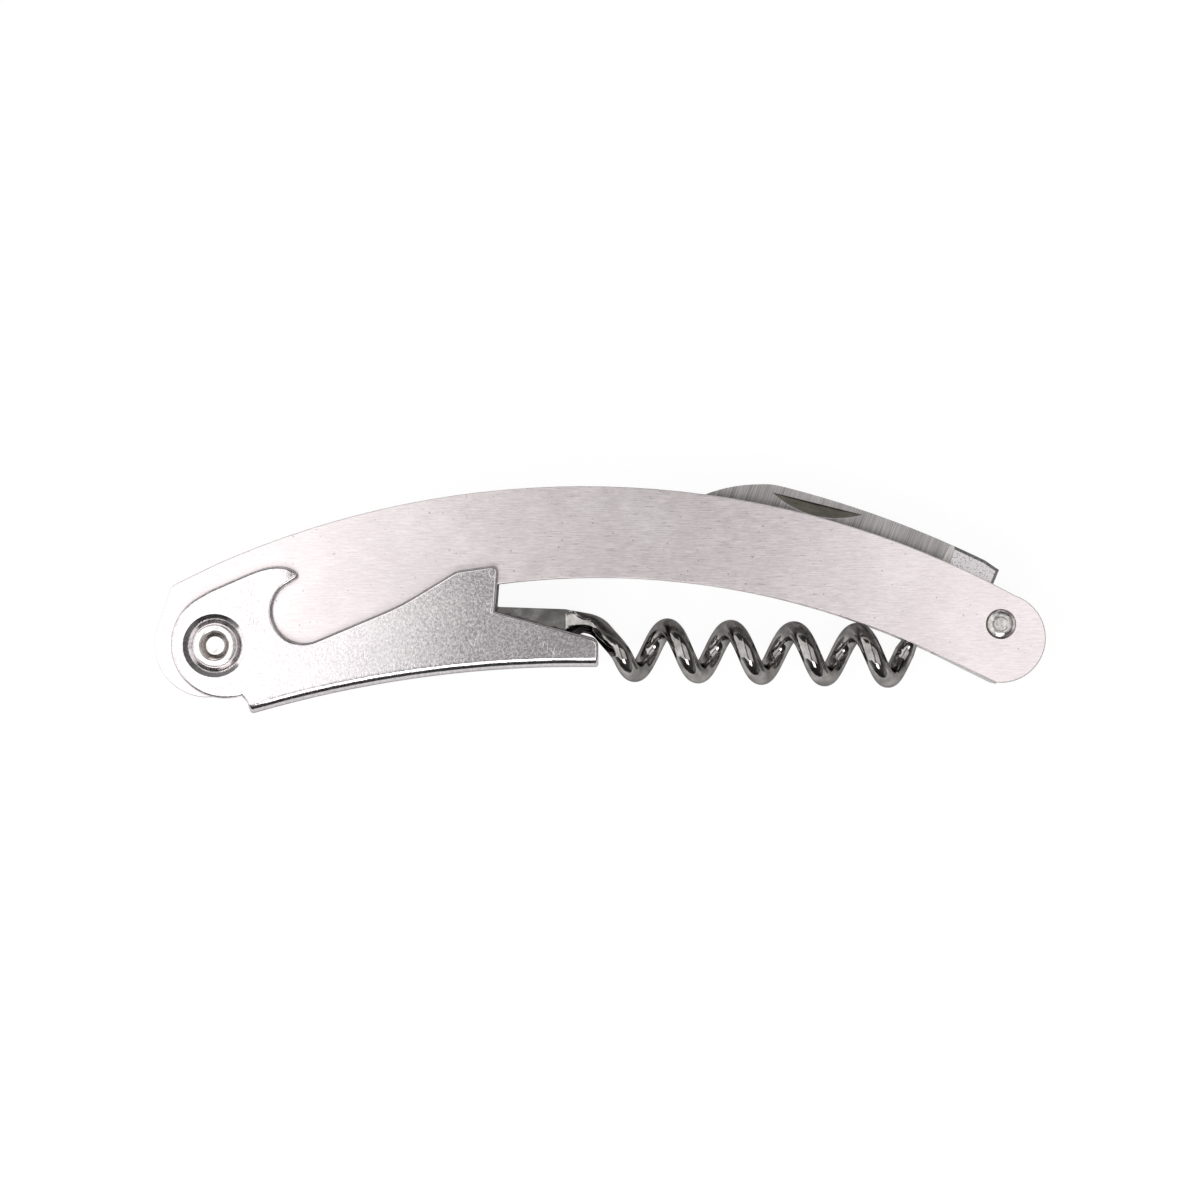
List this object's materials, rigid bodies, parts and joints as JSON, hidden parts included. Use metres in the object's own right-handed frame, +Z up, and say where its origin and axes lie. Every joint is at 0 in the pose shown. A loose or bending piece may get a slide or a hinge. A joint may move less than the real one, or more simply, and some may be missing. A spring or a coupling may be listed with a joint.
{
  "type": "waiter's corkscrew",
  "caption": "Folding steel waiter's corkscrew: bowed handle plates with a swing-out lever and cap mouth, a worm and a foil knife.",
  "frame": {"origin": "middle of the footprint on the surface that the closed tool lies on", "axes": "+X along the length towards the knife pivot, +Y towards the back of the handle, +Z up through the thickness, out of the front cheek of the lever"},
  "size_m": [0.114, 0.0294, 0.0135],
  "materials": {
    "brushed_plate": "fine brushed stainless, grain along the length",
    "tumbled_sheet": "tumbled satin stainless with fine random scratches and softly rounded edges",
    "polished_wire": "polished steel wire",
    "ground_blade": "ground across the blade",
    "polished_rivet": "bright cupped rivet heads",
    "spring_steel": "tempered spring strip, satin",
    "spacer_steel": "turned steel"
  },
  "bodies": {
    "handle": {"handle_front_plate": "brushed_plate", "handle_back_plate": "brushed_plate", "end_bar": "spring_steel", "back_spring": "spring_steel", "lever_rivet": "polished_rivet", "lever_rivet_sleeve": "spacer_steel", "worm_pin": "polished_rivet", "worm_spacer_front": "spacer_steel", "worm_spacer_back": "spacer_steel", "blade_pin": "polished_rivet", "blade_spacer_front": "spacer_steel", "blade_spacer_back": "spacer_steel"},
    "lever": {"lever": "tumbled_sheet"},
    "worm": {"worm": "polished_wire"},
    "knife": {"blade": "ground_blade"}
  },
  "joints": [
    {"name": "lever_pivot", "type": "hinge", "parent": "handle", "child": "lever", "pos_m": [-0.0493, -0.00588, 0.00675], "axis": [0, 0, -1], "range_deg": [0, 165]},
    {"name": "worm_pivot", "type": "hinge", "parent": "handle", "child": "worm", "pos_m": [-0.0216, -0.00236, 0.00675], "axis": [0, 0, -1], "range_deg": [0, 90]},
    {"name": "knife_pivot", "type": "hinge", "parent": "handle", "child": "knife", "pos_m": [0.05112, -0.00313, 0.00675], "axis": [0, 0, -1], "range_deg": [0, 179]}
  ],
  "couplings": [
    {"joint": "worm_pivot", "follows": "lever_pivot", "ratio": 0.54}
  ]
}
